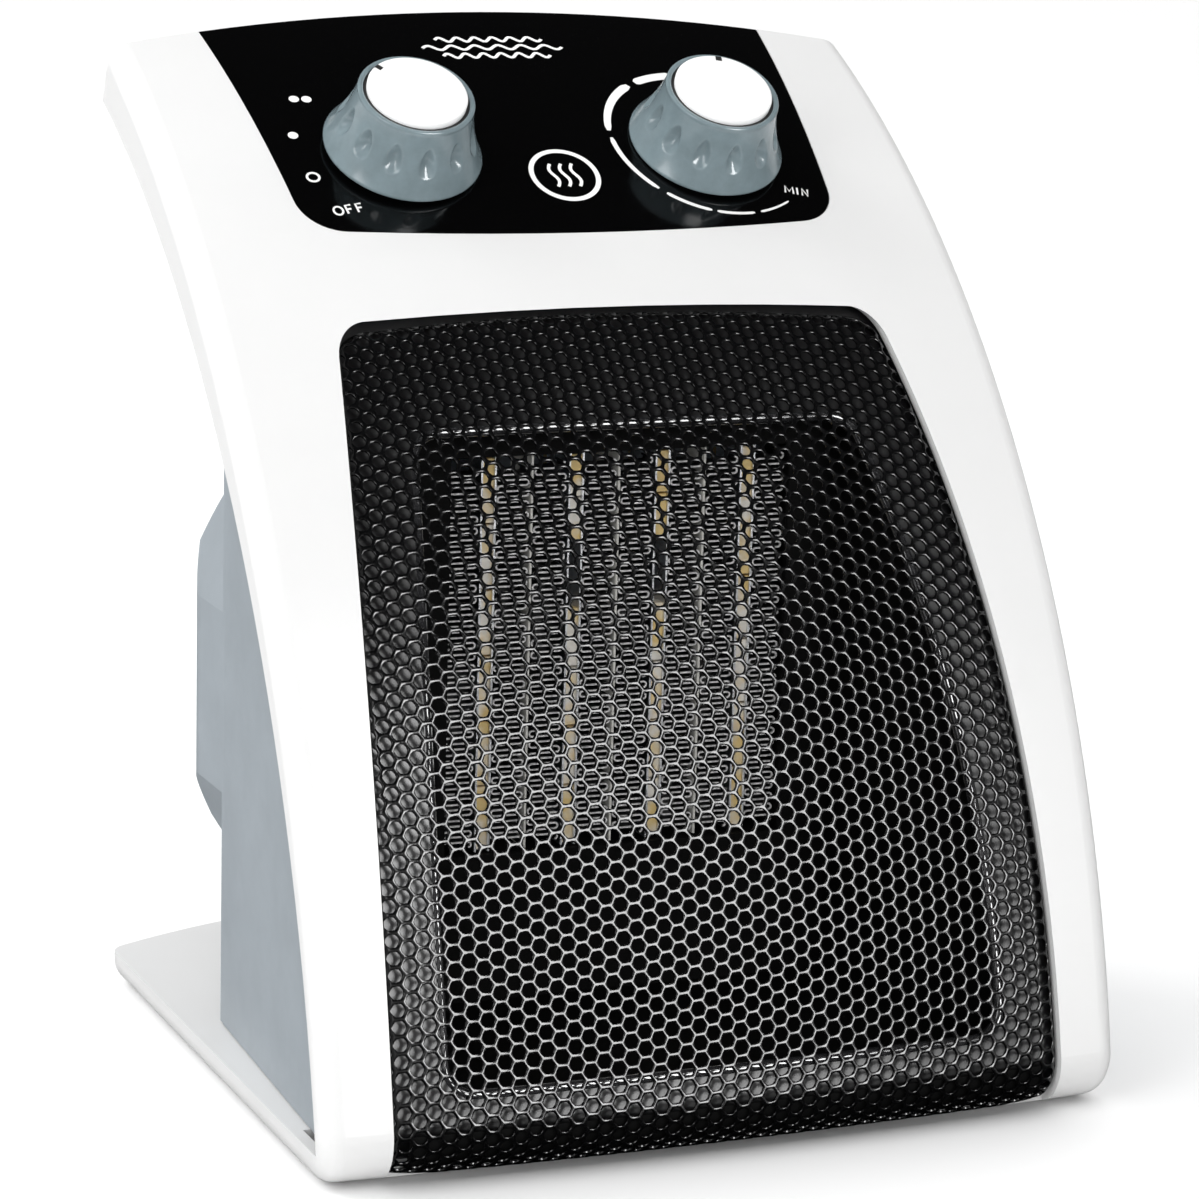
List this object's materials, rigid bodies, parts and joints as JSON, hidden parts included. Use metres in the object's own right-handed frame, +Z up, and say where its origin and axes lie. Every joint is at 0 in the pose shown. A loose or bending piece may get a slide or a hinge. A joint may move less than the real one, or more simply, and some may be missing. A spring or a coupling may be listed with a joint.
{
  "type": "ceramic space heater",
  "caption": "Free-standing fan heater: C-shaped white moulding with a curved black mesh front, sloping two-knob panel and grey rear housing with element and fan.",
  "frame": {"origin": "floor level under the middle of the heater's footprint", "axes": "+X to the right seen from the front, -Y towards the front mesh, +Z up"},
  "size_m": [0.18, 0.1792, 0.2229],
  "materials": {
    "white_plastic": "smooth white satin-gloss moulding",
    "black_steel": "black enamelled expanded mesh",
    "grey_plastic": "fine matt blue-grey moulding",
    "frame_grey": "matt grey heat-resistant moulding",
    "panel_black": "high-gloss black sheet",
    "knob_grey": "semi-gloss blue-grey moulding",
    "cap_white": "smooth white disc",
    "base_grey": "matt light grey moulding",
    "rubber": "soft matt rubber",
    "steel": "zinc-plated steel",
    "black_plastic": "matt black moulding",
    "dark_duct": "matt black heat-resistant moulding",
    "ceramic": "yellow-brown fired ceramic",
    "fin_aluminium": "thin corrugated foil",
    "mica": "pale insulating sheet",
    "brass": "plain brass",
    "copper_wire": "silicone-sleeved lead"
  },
  "bodies": {
    "heater": {"front_shell": "white_plastic", "mesh_grille": "black_steel", "grille_frame": "frame_grey", "control_panel": "panel_black", "base_plate": "base_grey", "base_plate_screws": "steel", "rubber_feet": "rubber", "tip_switch_body": "black_plastic", "housing": "grey_plastic", "rear_cover": "grey_plastic", "housing_screws": "steel", "rear_cover_screws": "steel", "heat_shield": "mica", "air_duct": "dark_duct", "ptc_frame": "dark_duct", "ptc_stones": "ceramic", "electrode_strips": "fin_aluminium", "heat_fins": "fin_aluminium", "fin_separators": "mica", "element_terminals": "brass", "thermal_cutout": "black_plastic", "thermal_fuse": "mica", "element_screws": "steel", "fan_shroud": "black_plastic", "motor_can": "steel", "motor_screws": "steel", "control_nuts": "steel", "rotary_switch_body": "black_plastic", "thermostat_body": "mica", "rotary_switch_tabs": "brass", "thermostat_tabs": "brass", "thermostat_bimetal": "brass", "terminal_block": "base_grey", "cord_gland": "grey_plastic", "internal_wires": "copper_wire"},
    "fan": {"impeller": "black_plastic", "motor_shaft": "steel"},
    "mode_control": {"mode_knob": "knob_grey", "mode_knob_cap": "cap_white", "rotary_switch_shaft": "base_grey"},
    "thermostat_control": {"thermostat_knob": "knob_grey", "thermostat_knob_cap": "cap_white", "thermostat_shaft": "brass"},
    "tip_switch": {"tip_plunger": "base_grey"}
  },
  "joints": [
    {"name": "fan_spin", "type": "hinge", "parent": "heater", "child": "fan", "pos_m": [0, 0.008, 0.0768], "axis": [0, 1, 0], "continuous": true},
    {"name": "mode_turn", "type": "hinge", "parent": "heater", "child": "mode_control", "pos_m": [-0.0353, 0.0281, 0.19622], "axis": [0, -0.5736, 0.8192], "range_deg": [0, 95]},
    {"name": "thermostat_turn", "type": "hinge", "parent": "heater", "child": "thermostat_control", "pos_m": [0.0373, 0.02814, 0.19617], "axis": [0, -0.5736, 0.8192], "range_deg": [-15, 240]},
    {"name": "tip_over_slide", "type": "slide", "parent": "heater", "child": "tip_switch", "axis": [0, 0, -1], "range_m": [0, 0.0035], "stiffness_N_per_m": 60, "springref_m": 0.006}
  ]
}
